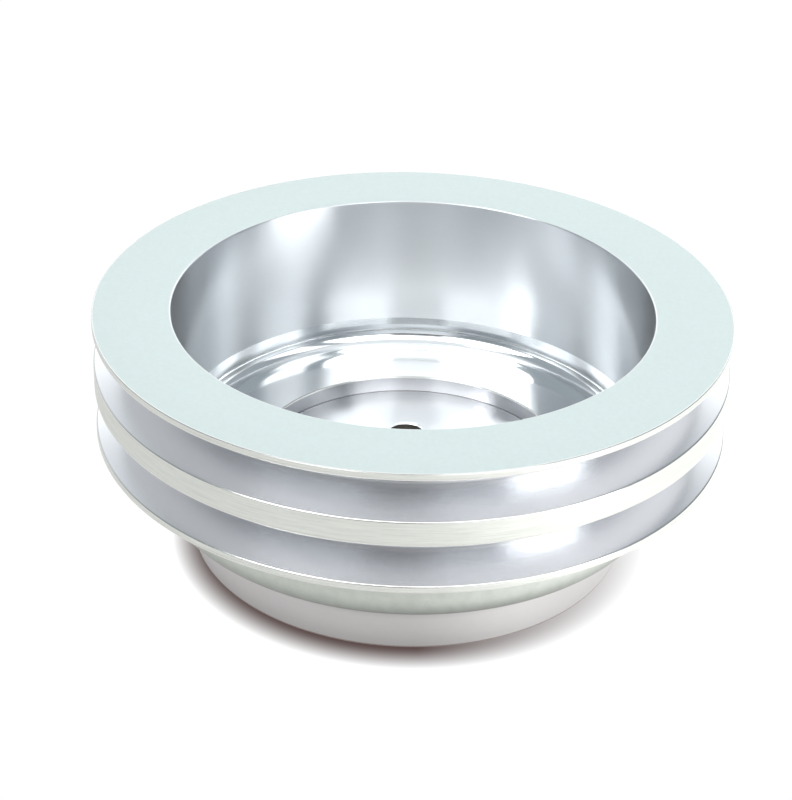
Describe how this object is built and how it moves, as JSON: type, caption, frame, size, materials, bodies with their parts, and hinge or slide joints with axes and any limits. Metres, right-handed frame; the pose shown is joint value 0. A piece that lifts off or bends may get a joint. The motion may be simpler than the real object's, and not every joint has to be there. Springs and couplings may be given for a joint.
{
  "type": "crankshaft belt pulley",
  "caption": "Deep-dish billet aluminium crankshaft pulley with a twin V-belt rim, a polished bowl and a smaller mounting hub that it stands on.",
  "frame": {"origin": "centre of the mounting hub's foot face, which the part stands on", "axes": "+Z along the spin axis, from the engine side towards the open mouth of the bowl; +Y through the first crank bolt hole"},
  "size_m": [0.1714, 0.1714, 0.0693],
  "materials": {
    "turned_aluminium": "turned and polished bowl, fine brushed rim lands, bead-blasted face",
    "hub_aluminium": "satin turned",
    "screw_steel": "black oxide"
  },
  "bodies": {
    "root": {"sheave": "turned_aluminium", "mounting_hub": "hub_aluminium", "hub_screw_1": "screw_steel", "hub_screw_2": "screw_steel", "hub_screw_3": "screw_steel", "hub_screw_4": "screw_steel", "hub_screw_5": "screw_steel", "hub_screw_6": "screw_steel"}
  },
  "joints": []
}
